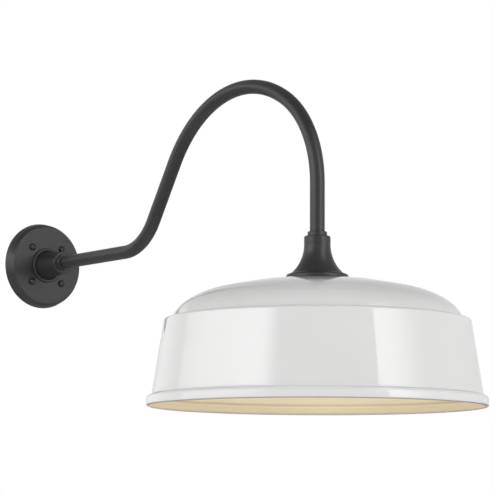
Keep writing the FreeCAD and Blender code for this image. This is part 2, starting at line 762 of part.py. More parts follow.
def terminal_screws():
    screws = []
    for side in (-1, 1):
        head = Part.makeCylinder(TERMINAL_HEAD_R, TERMINAL_HEAD_HEIGHT, FreeCAD.Vector(0, 0, SPIGOT_TOP))
        foot = FreeCAD.Vector(0, 0, SPIGOT_TOP - TERMINAL_LENGTH)
        screw = head.fuse(Part.makeCylinder(TERMINAL_R - BORE_GAP, TERMINAL_LENGTH, foot))
        slot = Part.makeBox(DRIVER_SLOT_WIDTH, 2 * TERMINAL_HEAD_R + OVERRUN, DRIVER_SLOT_DEPTH + OVERRUN)
        slot.translate(FreeCAD.Vector(-DRIVER_SLOT_WIDTH / 2, -TERMINAL_HEAD_R - OVERRUN / 2,
                                      TERMINAL_TOP - DRIVER_SLOT_DEPTH))
        screw = screw.cut(slot)
        screw.translate(FreeCAD.Vector(side * TERMINAL_OFFSET, 0, 0))
        screws.append(screw)
    return on_shade(Part.makeCompound(screws))


def lamp_cap():
    inner_r = LAMP_CAP_R - LAMP_CAP_WALL
    return on_shade(ring(LAMP_CAP_R, inner_r, LAMP_CAP_BOTTOM, LAMP_CAP_LENGTH))


def lamp_insulator():
    return on_shade(turned([
        (0, LAMP_CAP_TOP, 0),
        (LAMP_CAP_R, LAMP_CAP_TOP, 0),
        (LAMP_INSULATOR_TOP_R, LAMP_CAP_TOP + LAMP_INSULATOR_HEIGHT, 0),
        (0, LAMP_CAP_TOP + LAMP_INSULATOR_HEIGHT, 0),
    ]))


def lamp_contact():
    bottom = LAMP_TOP - LAMP_CONTACT_HEIGHT
    return on_shade(turned([
        (0, bottom, 0),
        (LAMP_CONTACT_R, bottom, 0),
        (LAMP_CONTACT_R, LAMP_TOP, LAMP_CONTACT_HEIGHT / 2),
        (0, LAMP_TOP, 0),
    ]))


def lamp_housing():
    """The lamp's solid body: a stem inside the cap and a flared skirt under it."""
    top = LAMP_CAP_BOTTOM
    flare_r = LAMP_BODY_R * LAMP_FLARE_SHARES[0]
    flare_height = top - LAMP_BODY_HEIGHT * LAMP_FLARE_SHARES[1]
    return on_shade(turned([
        (0, LAMP_BODY_BOTTOM, 0),
        (LAMP_BODY_R, LAMP_BODY_BOTTOM, 0),
        (flare_r, flare_height, LAMP_FLARE_R),
        (LAMP_NECK_R, top - LAMP_NECK_HEIGHT, LAMP_NECK_ROUND),
        (LAMP_NECK_R, top, 0),
        (LAMP_CAP_R - LAMP_CAP_WALL - BORE_GAP, top, 0),
        (LAMP_CAP_R - LAMP_CAP_WALL - BORE_GAP, LAMP_CAP_TOP, 0),
        (0, LAMP_CAP_TOP, 0),
    ]))


def lamp_globe():
    side_r, side_drop = GLOBE_SIDE_SHARES
    end_r, end_drop = GLOBE_END_SHARES
    outer = [
        (0, LAMP_BODY_BOTTOM - GLOBE_HEIGHT, 0),
        (GLOBE_R * end_r, LAMP_BODY_BOTTOM - GLOBE_HEIGHT * end_drop, GLOBE_END_BEND_R),
        (GLOBE_R * side_r, LAMP_BODY_BOTTOM - GLOBE_HEIGHT * side_drop, GLOBE_SIDE_BEND_R),
        (GLOBE_R, LAMP_BODY_BOTTOM, 0),
    ]
    return on_shade(turned(sheet_outline(outer, GLOBE_WALL)))


PIECES = (
    wall_gasket, wall_plate, plate_screws, ground_screw,
    arm_hub, hub_set_screw, arm_washer, arm_locknut,
    gooseneck_tube, line_lead, neutral_lead,
    fitter_bell, bell_set_screw, tube_plug, fitter_nipple,
    shade_gasket, shade, backing_plate, nipple_washer, nipple_nut,
    socket_cap, socket_body, socket_shell, socket_contact, terminal_screws,
    lamp_cap, lamp_insulator, lamp_contact, lamp_housing, lamp_globe,
)

os.makedirs("parts", exist_ok=True)
for piece in PIECES:
    shape = piece()
    box = shape.BoundBox
    print(f"{piece.__name__}: {len(shape.Solids)} solid(s), valid {shape.isValid()}, "
          f"volume {shape.Volume:.0f}, z {box.ZMin:.1f} to {box.ZMax:.1f}")
    shape.exportStep(f"parts/{piece.__name__}.step")
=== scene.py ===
# %% [markdown]
# # A barn light on a gooseneck arm
# A round plate is screwed to the wall. A hub on it holds a bent tube, which climbs, turns over and
# comes straight down into a small cast bell, and the bell carries a deep round shade with a lamp in it.
# The solids are already made to size. This lesson dresses them: it gives every piece its finish, spins
# the shade and sweeps the tube afresh so that their gloss is smooth, and cuts the threads. All lengths
# are in metres. Heights are from the plate's centre, or from the lip in the shade's own outline.

# %% Load the frame
import math

import bmesh
import bpy
from mathutils import Matrix, Vector


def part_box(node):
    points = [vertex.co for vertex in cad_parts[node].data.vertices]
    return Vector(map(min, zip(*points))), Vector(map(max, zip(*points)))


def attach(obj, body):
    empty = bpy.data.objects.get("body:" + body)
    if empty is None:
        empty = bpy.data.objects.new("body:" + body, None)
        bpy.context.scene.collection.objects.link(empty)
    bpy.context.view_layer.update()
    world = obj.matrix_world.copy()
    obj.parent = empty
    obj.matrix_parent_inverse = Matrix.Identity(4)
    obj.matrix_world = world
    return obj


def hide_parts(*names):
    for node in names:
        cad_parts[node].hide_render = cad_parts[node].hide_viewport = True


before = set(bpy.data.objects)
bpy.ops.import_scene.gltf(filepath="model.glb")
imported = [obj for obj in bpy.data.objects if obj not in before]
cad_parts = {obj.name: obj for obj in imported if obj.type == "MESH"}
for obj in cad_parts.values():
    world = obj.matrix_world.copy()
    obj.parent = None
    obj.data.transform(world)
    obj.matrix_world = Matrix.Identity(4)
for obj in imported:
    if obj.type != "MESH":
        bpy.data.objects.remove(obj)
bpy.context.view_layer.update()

# %% [markdown]
# ## The camera
# The photograph was taken from a little below the shade and well to its left, with a long lens. The
# place, the tilt and the lens were worked out from the outlines of the plate, the tube and the shade.
# A camera can be aimed with a constraint, but three axes written as a matrix also hold the slight roll.

# %% Camera
PIXELS, FOCAL_PIXELS, SENSOR_MM = 494, 2183.5, 36
CAMERA_PLACE = (-1.7357, -2.7807, -0.3797)
TURN, TILT, ROLL = math.radians(37.397), math.radians(7.169), -0.0044


def linked(name, data):
    """A new object that holds the data, in the scene."""
    thing = bpy.data.objects.new(name, data)
    bpy.context.scene.collection.objects.link(thing)
    return thing


ahead = Vector((math.sin(TURN) * math.cos(TILT), math.cos(TURN) * math.cos(TILT), math.sin(TILT)))
level = Vector((math.cos(TURN), -math.sin(TURN), 0))
upright = level.cross(ahead)
right = level * math.cos(ROLL) - upright * math.sin(ROLL)
above = level * math.sin(ROLL) + upright * math.cos(ROLL)

camera = linked("camera", bpy.data.cameras.new("camera"))
camera.data.sensor_width = SENSOR_MM
camera.data.lens = FOCAL_PIXELS * SENSOR_MM / PIXELS
camera.data.clip_start, camera.data.clip_end = 0.1, 60
axes = Matrix((right, above, -ahead)).transposed().to_4x4()
camera.matrix_world = Matrix.Translation(CAMERA_PLACE) @ axes
bpy.context.scene.camera = camera
print("lens in millimetres:", round(camera.data.lens, 1))

# %% [markdown]
# ## Writing node trees as sums
# A finish or a growing shape is a tree of nodes. Wiring each one by hand is slow to read, so a wire is
# wrapped in a small class here: adding or multiplying wires adds the Math node that does it. The forms
# that start with r are for sums where a plain number comes first, such as 1 - mask.

# %% Wires
class Wire:
    """One output of a node. Sums with it become Math nodes on the same board."""

    def __init__(self, board, socket):
        self.board, self.socket = board, socket

    def other(self, name):
        """Another output of the same node."""
        return Wire(self.board, self.socket.node.outputs[name])

    def math(self, operation, *others):
        """A Math node that takes this wire first."""
        return self.board.math(operation, self, *others)

    def __add__(self, value):
        return self.math("ADD", value)

    def __sub__(self, value):
        return self.math("SUBTRACT", value)

    def __rsub__(self, value):
        return self.board.math("SUBTRACT", value, self)

    def __mul__(self, value):
        return self.math("MULTIPLY", value)

    def __truediv__(self, value):
        return self.math("DIVIDE", value)

    def __rtruediv__(self, value):
        return self.board.math("DIVIDE", value, self)

    __radd__, __rmul__ = __add__, __mul__


print("wires can be added, subtracted, multiplied and divided")

# %% [markdown]
# ## The board that the nodes sit on
# A node is made, its settings are chosen, and then values or wires go into its sockets, in that order,
# because some settings change which sockets there are. One method does that for every kind of node, and
# three short ones name what is used most: sums, one number of a vector, and a range.

# %% Boards
class Board:
    """A node tree, and the one way that nodes are added to it."""

    def __init__(self, tree):
        self.tree = tree

    def feed(self, socket, value):
        """Links a wire to a socket, or writes a plain value there."""
        if isinstance(value, Wire):
            self.tree.links.new(value.socket, socket)
        else:
            socket.default_value = value

    def add(self, kind, settings=None, sockets=None, out=0):
        """A new node, set up and fed, as the wire of one output, or as the node where out is None."""
        node = self.tree.nodes.new(kind)
        for key, value in (settings or {}).items():
            setattr(node, key, value)
        for key, value in (sockets or {}).items():
            self.feed(node.inputs[key], value)
        return node if out is None else Wire(self, node.outputs[out])

    def math(self, operation, *values):
        return self.add("ShaderNodeMath", {"operation": operation}, dict(enumerate(values)))

    def part(self, vector, axis):
        """One number of a vector: X, Y or Z."""
        return self.add("ShaderNodeSeparateXYZ", sockets={"Vector": vector}, out=axis)

    def ramp(self, value, low, high, kind="LINEAR"):
        """From 0 where the value is low to 1 where it is high."""
        return self.add("ShaderNodeMapRange", {"interpolation_type": kind},
                        {"Value": value, "From Min": low, "From Max": high})


print("a board adds nodes by", [name for name in vars(Board) if not name.startswith("_")])

# %% [markdown]
# ## What a finish is made of
# Paint, enamel and metal all start from one shader with a colour, a roughness and perhaps a metallic
# part. Real surfaces vary, so each finish gets noise at its own real scale: broad clouds for colour and
# wear, and a fine grain that only tilts the surface. The noise reads the object's own coordinates, in
# metres, so it sits still on the piece from every side.

# %% Finishes
FINE_GRAIN = 0.00002
finishes = {}


class Finish(Board):
    """A surface finish, kept by its name: a shader, its coordinates, and the noise that varies it."""

    def __init__(self, name, colour, roughness, metallic=0.0, **fixed):
        self.material = bpy.data.materials.new(name)
        self.material.use_nodes = True
        self.material.diffuse_color = (*colour, 1)
        super().__init__(self.material.node_tree)
        self.shader = self.tree.nodes["Principled BSDF"]
        self.place = self.add("ShaderNodeTexCoord", out="Object")
        self.set(Base_Color=(*colour, 1), Roughness=roughness, Metallic=metallic, **fixed)
        finishes[name] = self

    def set(self, **sockets):
        """Feeds sockets of the shader, by their names with _ for each space."""
        for name, value in sockets.items():
            self.feed(self.shader.inputs[name.replace("_", " ")], value)

    def noise(self, scale, detail=2.0, stretch=(1, 1, 1)):
        """Noise with about as many cells to the metre as its scale."""
        spot = self.add("ShaderNodeMapping", sockets={"Vector": self.place, "Scale": stretch}, out="Vector")
        return self.add("ShaderNodeTexNoise", sockets={"Vector": spot, "Scale": scale, "Detail": detail})

    def blend(self, share, first, second):
        """A mix of two colours. The Mix node's sockets for colours are numbers 6 and 7, and 2 comes out."""
        return self.add("ShaderNodeMix", {"data_type": "RGBA"}, {0: share, 6: first, 7: second}, out=2)

    def grain(self, height, depth=FINE_GRAIN):
        """Tilts the surface by a height, as a bump."""
        sockets = {"Strength": 1.0, "Distance": depth, "Height": height}
        self.set(Normal=self.add("ShaderNodeBump", sockets=sockets))


def tint(colour, factor):
    """The same colour, lighter or darker, as a node's colour value."""
    return (*(min(1, c * factor) for c in colour), 1)


print("a fine grain is", FINE_GRAIN * 1000, "mm deep")

# %% [markdown]
# ## Grey powder coat
# The plate, the hub, the tube and the bell are coated with powder that melts into a tough satin skin.
# Close up it has a fine pebbled grain, like orange peel, and the coat is a touch thicker and darker in
# some places than in others. Two noises make that: clouds of about 4 cm, and a grain of under a millimetre.

# %% Grey powder coat
GREY = (0.024, 0.0245, 0.0255)
coat = Finish("grey_powder_coat", GREY, 0.36)
clouds = coat.ramp(coat.noise(scale=28, detail=3), 0.3, 0.7)
peel = coat.noise(scale=1300)
coat.set(Base_Color=coat.blend(clouds, tint(GREY, 0.88), tint(GREY, 1.1)))
coat.set(Roughness=0.34 + clouds * 0.05 + peel * 0.03)
coat.grain(peel)
print("grey powder coat for the plate, hub, tube and bell")

# %% [markdown]
# ## White enamel outside, cream enamel inside
# The shade is spun from sheet, so it keeps very shallow rings from the spinning tool under its gloss.
# The white outside is nearly mirror smooth. The cream inside is a little softer and warmer. The rings
# are a sine of the height, mixed with a slow noise so that they don't look machined. Thin bands of painted
# shade go round the foot, placed by height. Along the lip, a grey band outside paints the shade on the
# lip's underside, and a darker cream band inside paints the shade at its edge. Inside only, a tan band
# paints the shade in the groove behind the bead.

# %% Enamels
RING_PHASE = 900  # radians to the metre, so a ring every 7 mm
EDGE_WANDER, BAND_CORE = 0.0004, 0.45
# Painted shade bands, each (height, reach): under the lip outside, at the lip's edge inside, and in the
# groove.
PAINTED_LIP_SHADE, PAINTED_INNER_LIP_SHADE, PAINTED_GROOVE_SHADE = (-0.2370, 0.0019), (-0.2370, 0.0011), (-0.2238, 0.0025)


def enamel(name, colour, warm, roughness, depth, painted_shade_bands):
    """Gloss enamel between two close colours, with spun rings, and painted shade bands of (height, reach),
    colour.
    """
    skin = Finish(name, colour, roughness, Coat_Weight=0.35, Coat_Roughness=0.03)
    slow, fine = skin.noise(scale=9), skin.noise(scale=420)
    skin.set(Roughness=roughness + slow * 0.02 + fine * 0.01)
    paint = skin.blend(skin.ramp(slow, 0.25, 0.75), (*colour, 1), (*warm, 1))
    height = skin.part(skin.place, "Z")
    # Each band mixes painted shade into the enamel's colour, by height.
    for (middle, reach), painted_shade_colour in painted_shade_bands:
        away = (height - middle).math("ABSOLUTE") + (fine - 0.5) * EDGE_WANDER
        near = 1 - skin.ramp(away, reach * BAND_CORE, reach)
        paint = skin.blend(near, paint, (*painted_shade_colour, 1))
    skin.set(Base_Color=paint)
    rings = (height * RING_PHASE + slow * 6).math("SINE")
    skin.grain(rings * 0.5 + slow * 3 + fine * 0.25, depth)


# The grey band paints the shade under the lip. The tan and darker cream bands paint shade in the groove and
# at the lip.
enamel("white_gloss_enamel", (0.86, 0.86, 0.855), (0.84, 0.84, 0.83), roughness=0.03, depth=0.000008,
       painted_shade_bands=[(PAINTED_LIP_SHADE, (0.30, 0.31, 0.33))])
enamel("cream_enamel", (0.77, 0.685, 0.515), (0.76, 0.67, 0.49), roughness=0.24, depth=0.00001,
       painted_shade_bands=[(PAINTED_GROOVE_SHADE, (0.63, 0.48, 0.30)), (PAINTED_INNER_LIP_SHADE, (0.62, 0.52, 0.36))])
print("white and cream enamel for the shade")

# %% [markdown]
# ## Screws, nuts, washers and other metal
# The four plate screws are glossy black. The pieces that hold the light together are zinc plated, with
# fine turning marks, and the contacts are brass. Plated steel is a metal with a brushed roughness: a noise
# stretched along one axis gives it that direction.

# %% Metals
def metal(name, colour, roughness, spread):
    """Bare metal with fine brush marks round the upright axis, and faint stains."""
    plate = Finish(name, colour, roughness, metallic=1.0)
    brush = plate.noise(scale=160, detail=3, stretch=(1, 1, 14))
    stain = plate.ramp(plate.noise(scale=60), 0.35, 0.75)
    plate.set(Base_Color=plate.blend(stain, tint(colour, 1.0), tint(colour, 0.82)))
    plate.set(Roughness=roughness + brush * spread)
    plate.grain(brush)


metal("zinc_plate", (0.62, 0.63, 0.64), roughness=0.28, spread=0.22)
metal("contact_brass", (0.80, 0.60, 0.28), roughness=0.24, spread=0.2)
metal("lamp_aluminium", (0.80, 0.80, 0.79), roughness=0.25, spread=0.15)

black = Finish("black_screw_paint", (0.004, 0.004, 0.0045), 0.12)
black_grain = black.noise(scale=900)
black.set(Roughness=0.09 + black_grain * 0.08)
black.grain(black_grain)

green = Finish("green_screw_paint", (0.03, 0.22, 0.07), 0.3)
green_grain = green.noise(scale=500)
green.set(Base_Color=green.blend(green_grain, (0.025, 0.19, 0.06, 1), (0.04, 0.27, 0.09, 1)))
green.grain(green_grain)
print("metals and paints:", sorted(finishes))

# %% [markdown]
# ## Rubber, porcelain, plastic and wire
# Seals are matt black rubber. The lampholder is glazed porcelain, slightly warm, with a glaze that
# pools and so varies in gloss. The lamp has a matt white skirt and a milky globe, and the two wires have
# smooth insulation.

# %% Soft and moulded finishes
def moulded(name, colour, roughness, cloud, pebble, depth=FINE_GRAIN, **fixed):
    """A moulded or glazed surface: broad clouds in its colour, and a pebbled grain."""
    stuff = Finish(name, colour, roughness, **fixed)
    broad = stuff.ramp(stuff.noise(scale=cloud), 0.3, 0.7)
    grain = stuff.noise(scale=pebble)
    stuff.set(Base_Color=stuff.blend(broad, tint(colour, 0.94), tint(colour, 1.04)))
    stuff.set(Roughness=roughness - 0.04 + broad * 0.05 + grain * 0.04)
    stuff.grain(grain, depth)


moulded("seal_rubber", (0.025, 0.025, 0.026), 0.75, cloud=60, pebble=1100, depth=0.00008)
moulded("porcelain_glaze", (0.80, 0.78, 0.72), 0.16, cloud=40, pebble=300, Coat_Weight=0.5)
moulded("lamp_skirt_plastic", (0.80, 0.80, 0.79), 0.42, cloud=40, pebble=900, depth=0.00003)
moulded("lamp_globe_milk", (0.86, 0.86, 0.84), 0.35, cloud=40, pebble=700,
        Subsurface_Weight=0.25, Subsurface_Scale=0.003)
moulded("black_insulation", (0.02, 0.02, 0.022), 0.4, cloud=80, pebble=900, depth=0.00003)
moulded("white_insulation", (0.75, 0.75, 0.73), 0.4, cloud=80, pebble=900, depth=0.00003)
moulded("black_insulator", (0.015, 0.015, 0.018), 0.2, cloud=90, pebble=500)
print("finishes in all:", len(finishes))

# %% [markdown]
# ## Trees that grow shapes
# Geometry Nodes do the shading by angle here, and make what follows a line or repeats: the tube, the
# threads, and the screws on their circle. Such a tree can be wired in the editor. In a script it is
# started with its named sizes, ended with its finish and put on a piece with that piece's own sizes, so
# three short helpers serve them all. A modifier's input is set by its socket's identifier, which differs
# from its name.

# %% Start a tree, end it, and put it on a piece
def growing_tree(name, **sizes):
    """An empty Geometry Nodes tree with its named sizes, and the wires of its inputs."""
    tree = bpy.data.node_groups.new(name, "GeometryNodeTree")
    tree.interface.new_socket("Geometry", in_out="INPUT", socket_type="NodeSocketGeometry")
    for label, value in sizes.items():
        kind = "NodeSocketInt" if isinstance(value, int) else "NodeSocketFloat"
        tree.interface.new_socket(label, in_out="INPUT", socket_type=kind).default_value = value
    tree.interface.new_socket("Material", in_out="INPUT", socket_type="NodeSocketMaterial")
    tree.interface.new_socket("Geometry", in_out="OUTPUT", socket_type="NodeSocketGeometry")
    board = Board(tree)
    return board, board.add("NodeGroupInput")


def grown(board, given, geometry):
    """Ends a tree: instances are made real, and the finish is set."""
    real = board.add("GeometryNodeRealizeInstances", sockets={"Geometry": geometry})
    done = board.add("GeometryNodeSetMaterial",
                     sockets={"Geometry": real, "Material": given.other("Material")})
    board.add("NodeGroupOutput", sockets={"Geometry": done}, out=None)
    return board.tree


def grow(piece, tree, finish, **sizes):
    """Puts a tree on a piece, with its finish and its sizes."""
    made = piece.modifiers.new(tree.name, "NODES")
    made.node_group = tree
    inputs = {item.name: item.identifier for item in tree.interface.items_tree if item.in_out == "INPUT"}
    for label, value in {**sizes, "Material": finishes[finish].material}.items():
        made[inputs[label]] = value
    return piece


print("a tree is started, ended and put on a piece by three helpers")

# %% [markdown]
# ## Dressing the solids
# Most solids already have the right form, so they only need their finish. Their meshes arrive as loose
# flat triangles. A Weld modifier joins the triangles, and a small node tree then shades them smooth
# except across real edges, where neighbours meet at more than 28 degrees. The meshes stay as they are.

# %% Smooth shading with kept edges
WELD_GAP, EDGE_ANGLE = 0.000005, math.radians(28)

board, given = growing_tree("smooth_with_kept_edges", Edge=EDGE_ANGLE)
gentle = board.add("GeometryNodeInputMeshEdgeAngle").math("LESS_THAN", given.other("Edge"))
faces = board.add("GeometryNodeSetShadeSmooth", {"domain": "FACE"},
                  {"Geometry": given, "Shade Smooth": True})
edges = board.add("GeometryNodeSetShadeSmooth", {"domain": "EDGE"},
                  {"Geometry": faces, "Shade Smooth": gentle})
SMOOTH = grown(board, given, edges)


def dress(piece, *names):
    """Gives a piece its finishes, in the order of its material slots."""
    piece.data.materials.clear()
    for name in names:
        piece.data.materials.append(finishes[name].material)


FINISH_OF = {
    "wall_gasket": "seal_rubber", "wall_plate": "grey_powder_coat", "plate_screws": "black_screw_paint",
    "ground_screw": "green_screw_paint", "arm_hub": "grey_powder_coat", "hub_set_screw": "zinc_plate",
    "arm_washer": "zinc_plate", "arm_locknut": "zinc_plate", "gooseneck_tube": "grey_powder_coat",
    "line_lead": "black_insulation", "neutral_lead": "white_insulation", "fitter_bell": "grey_powder_coat",
    "bell_set_screw": "zinc_plate", "tube_plug": "zinc_plate", "fitter_nipple": "zinc_plate",
    "shade_gasket": "seal_rubber", "shade": "white_gloss_enamel", "backing_plate": "zinc_plate",
    "nipple_washer": "zinc_plate", "nipple_nut": "zinc_plate", "socket_cap": "porcelain_glaze",
    "socket_body": "porcelain_glaze", "socket_shell": "contact_brass", "socket_contact": "contact_brass",
    "terminal_screws": "contact_brass", "lamp_cap": "lamp_aluminium", "lamp_insulator": "black_insulator",
    "lamp_contact": "contact_brass", "lamp_housing": "lamp_skirt_plastic", "lamp_globe": "lamp_globe_milk",
}
for name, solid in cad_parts.items():
    dress(solid, FINISH_OF[name])
    solid.modifiers.new("weld", "WELD").merge_threshold = WELD_GAP
    grow(solid, SMOOTH, FINISH_OF[name], Edge=EDGE_ANGLE)
print("dressed", len(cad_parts), "solids")

# %% [markdown]
# ## Pieces that take a solid's place
# The tube, the shade and the threaded pieces are made again, with finer steps than the solids have. Each
# starts as a skin of points, lines or faces, may get a wall from Solidify, and is then made final,
# because what it rides on is set on a plain mesh. It takes the place of the solid whose form it has.

# %% Skins, walls and places
SKIN_EDGE = 40


def drawn(name, points=(), edges=(), faces=()):
    """A new piece from points, edges and faces."""
    mesh = bpy.data.meshes.new(name)
    mesh.from_pydata([tuple(p) for p in points], edges, faces)
    return linked(name, mesh)


def walled(piece, thickness):
    """Gives a skin its wall, which grows inwards from the faces that were made."""
    wall = piece.modifiers.new("wall", "SOLIDIFY")
    wall.thickness, wall.offset = thickness, -1
    return wall


def applied(piece, edge_degrees=SKIN_EDGE):
    """The piece with its modifiers made real, so that its mesh is final."""
    graph = bpy.context.evaluated_depsgraph_get()
    mesh = bpy.data.meshes.new_from_object(piece.evaluated_get(graph))
    mesh.name = piece.name
    piece.modifiers.clear()
    piece.data = mesh
    mesh.shade_smooth()
    if edge_degrees:
        mesh.set_sharp_from_angle(angle=math.radians(edge_degrees))
    return piece


def stands_for(piece, body, slot, *nodes):
    """The piece rides on its body and takes the place of its plain solids."""
    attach(piece, body)
    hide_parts(*nodes)
    low, high = [[round(f(v.co[i] for v in piece.data.vertices) * 1000, 1) for i in range(3)]
                 for f in (min, max)]
    print(piece.name, "has", len(piece.data.polygons), "faces, from", low, "to", high, "mm")


print("edges of the new skins stay sharp above", SKIN_EDGE, "degrees")

# %% [markdown]
# ## The arm's tube
# The arm is one length of 19 mm tube, bent cold on formers, so it is straight runs joined by round bends
# of three sizes. A Bezier curve would only come near that. Here a list of runs and bends is walked along,
# a small node tree sweeps a circle down the line, and Solidify gives the skin the tube's wall.

# %% Line of the tube
PLATE_FACE = 0.017
TUBE_START, LEVEL_RUN, LIMB_RUN = 0.0058, 0.2085, 0.0915
FIRST_BEND, CREST_BEND, LAST_BEND = (0.082, 56.8), (0.180, -56.8 - 32.5), (0.141, -57.5)


def walked(start, steps, degrees=2.5):
    """Points out from the wall and up, along runs (length,) and bends (radius, degrees up)."""
    place, heading, line = Vector((start, 0)), 0.0, [Vector((start, 0))]
    for size, *turn in steps:
        if not turn:
            place = place + Vector((math.cos(heading), math.sin(heading))) * size
            line.append(place)
            continue
        side = 1 if turn[0] > 0 else -1
        middle = place + Vector((-math.sin(heading), math.cos(heading))) * size * side
        count = round(abs(turn[0]) / degrees)
        for k in range(1, count + 1):
            angle = heading + math.radians(turn[0]) * k / count
            line.append(middle - Vector((-math.sin(angle), math.cos(angle))) * size * side)
        place, heading = line[-1], heading + math.radians(turn[0])
    return line


level_run = PLATE_FACE + LEVEL_RUN - TUBE_START
arm_line = walked(TUBE_START, [(level_run,), FIRST_BEND, (LIMB_RUN,), CREST_BEND, LAST_BEND])
arm_line.append(Vector((arm_line[-1].x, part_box("tube_plug")[0].z)))
SHADE_Y = -arm_line[-1].x
print("points on the tube's line:", len(arm_line), "shade's axis at y", round(SHADE_Y, 4))

# %% [markdown]
# ## Sweeping the tube
# The line becomes a curve, and a circle is carried along it square to its direction. A curve's own bevel
# would do the same, but a tree keeps the tube's radius and its number of sides as named inputs.

# %% Sweep a skin along the line
TUBE_R, TUBE_WALL, TUBE_SIDES = 0.009525, 0.0015, 48

board, given = growing_tree("swept_tube", Radius=TUBE_R, Sides=TUBE_SIDES)
line = board.add("GeometryNodeMeshToCurve", sockets={"Mesh": given})
ring = board.add("GeometryNodeCurvePrimitiveCircle",
                 sockets={"Radius": given.other("Radius"), "Resolution": given.other("Sides")})
swept = board.add("GeometryNodeCurveToMesh", sockets={"Curve": line, "Profile Curve": ring})
SWEEP = grown(board, given, swept)

arm = drawn("bent_arm_tube", [(0, -p.x, p.y) for p in arm_line],
            [(i, i + 1) for i in range(len(arm_line) - 1)])
grow(arm, SWEEP, "grey_powder_coat", Radius=TUBE_R, Sides=TUBE_SIDES)
walled(arm, TUBE_WALL)
stands_for(applied(arm), "fixture", "grey_paint", "gooseneck_tube")

# %% [markdown]
# ## Outlines with rounded corners
# The shade is one sheet pressed over a turning form, so its shape is an outline turned about an axis.
# The outline could be drawn as a Bezier curve. Here it is a list of corners, each with the size of its
# rounding, because that is how a spinner's drawing gives it, and a short helper puts in the arcs.

# %% Rounded outline
NO_LENGTH = 1e-6


def softened(corners, step=4.0):
    """Points along an open outline of (radius, height, rounding), with an arc at each rounded corner."""
    points = [Vector((r, h)) for r, h, _ in corners]
    ways = {i: ((points[i - 1] - points[i]).normalized(), (points[i + 1] - points[i]).normalized())
            for i in range(1, len(corners) - 1)}
    # An arc starts this far from its corner, or nearer where two arcs share a side that is too short.
    reach = [0.0] * len(corners)
    for i, (back, on) in ways.items():
        reach[i] = corners[i][2] / math.tan(back.angle(on) / 2)
    gaps = [(b - a).length for a, b in zip(points, points[1:])]
    room = [min(1, gap / max(reach[i] + reach[i + 1], gap)) for i, gap in enumerate(gaps)]
    line = [points[0]]
    for i, (back, on) in ways.items():
        half = back.angle(on) / 2
        cut = reach[i] * min(room[i - 1], room[i])
        if cut < NO_LENGTH:
            line.append(points[i])
            continue
        size = cut * math.tan(half)
        middle = points[i] + (back + on).normalized() * (size / math.sin(half))
        first = points[i] + back * cut - middle
        sweep = math.pi - 2 * half
        side = 1 if first.y * back.x > first.x * back.y else -1
        count = max(2, round(math.degrees(sweep) / step))
        line += [middle + Matrix.Rotation(side * sweep * k / count, 2) @ first for k in range(count + 1)]
    line.append(points[-1])
    return line[:1] + [b for a, b in zip(line, line[1:]) if (b - a).length > NO_LENGTH]


print("a corner of 90 degrees gets", len(softened([(0, 0, 0), (1, 0, 0.2), (1, 1, 0)])), "points")

# %% [markdown]
# ## Turning an outline
# The Screw modifier could turn an outline too. A short loop does the same and leaves no seam to merge:
# each point of the outline becomes a ring of points, and neighbouring rings are joined by four-sided
# faces, written in the order that makes them face outwards where the outline runs downwards.

# %% Turned skin
def turned(name, outline, about, around=192):
    """A skin turned about the upright line through a point, as a grid of four-sided faces."""
    angles = [2 * math.pi * k / around for k in range(around)]
    verts = [(about.x + point.x * math.cos(angle), about.y + point.x * math.sin(angle), about.z + point.y)
             for point in outline for angle in angles]
    faces = []
    for i in range(len(outline) - 1):
        for k in range(around):
            n = (k + 1) % around
            faces.append((i * around + k, (i + 1) * around + k, (i + 1) * around + n, i * around + n))
    return drawn(name, verts, faces=faces)


print("an outline can be turned")

# %% [markdown]
# ## The shade's dome
# From the hole in its top the sheet runs out over a low crown and turns down the knuckle of the dome.
# Three bends make that, and they meet without a kink. So the place of each bend's corner follows from
# its radius and the slopes where it starts and ends, and isn't measured.

# %% Corners of the dome
SHEET, LIP_DROP, ROD_HOLE_R = 0.0015, 0.2368, 0.00515
SHADE_FOOT = Vector((0, SHADE_Y, -LIP_DROP))
CREASE_R, CREASE_H = 0.1833, 0.1111
SHOULDER_R, SHOULDER_H = 0.1933, 0.1089
BAND_R, BAND_H = 0.2080, 0.0144
BEAD_R, BEAD_H, LIP_R = 0.2146, 0.0130, 0.2121
DOME_BENDS = [(0, 13.15), (0.1086, 33.9), (0.0498, 65.1)]


def dome_corners(bends, foot_r, foot_h):
    """Corners of a dome of tangent bends, from its top out to its foot.

    A bend is its radius and its slope where it ends, in degrees. The first one's radius isn't given,
    because the others and the foot leave only one that fits.
    """
    slopes = [0.0] + [math.radians(slope) for _, slope in bends]
    spans = list(zip(slopes, slopes[1:]))
    outer = sum(size * (math.sin(b) - math.sin(a)) for (size, _), (a, b) in list(zip(bends, spans))[1:])
    sizes = [(foot_r - outer) / math.sin(slopes[1])] + [size for size, _ in bends[1:]]
    top = foot_h + sum(size * (math.cos(a) - math.cos(b)) for size, (a, b) in zip(sizes, spans))
    here, corners = Vector((0, top)), [(ROD_HOLE_R, top, 0)]
    for size, (a, b) in zip(sizes, spans):
        reach = size * math.tan((b - a) / 2)
        here = here + Vector((math.cos(a), -math.sin(a))) * reach
        corners.append((here.x, here.y, size))
        here = here + Vector((math.cos(b), -math.sin(b))) * reach
    return corners


print("corners of the dome:", len(dome_corners(DOME_BENDS, CREASE_R, CREASE_H)))

# %% [markdown]
# ## Turning the shade
# Under the dome the sheet steps out over a small shoulder and falls as a tapered band to the bead, where
# its edge is rolled in. Only the outside is turned here. Solidify then gives the sheet its wall, which
# stays even round every bend, and an offset of the material slot puts the cream finish on the inside.

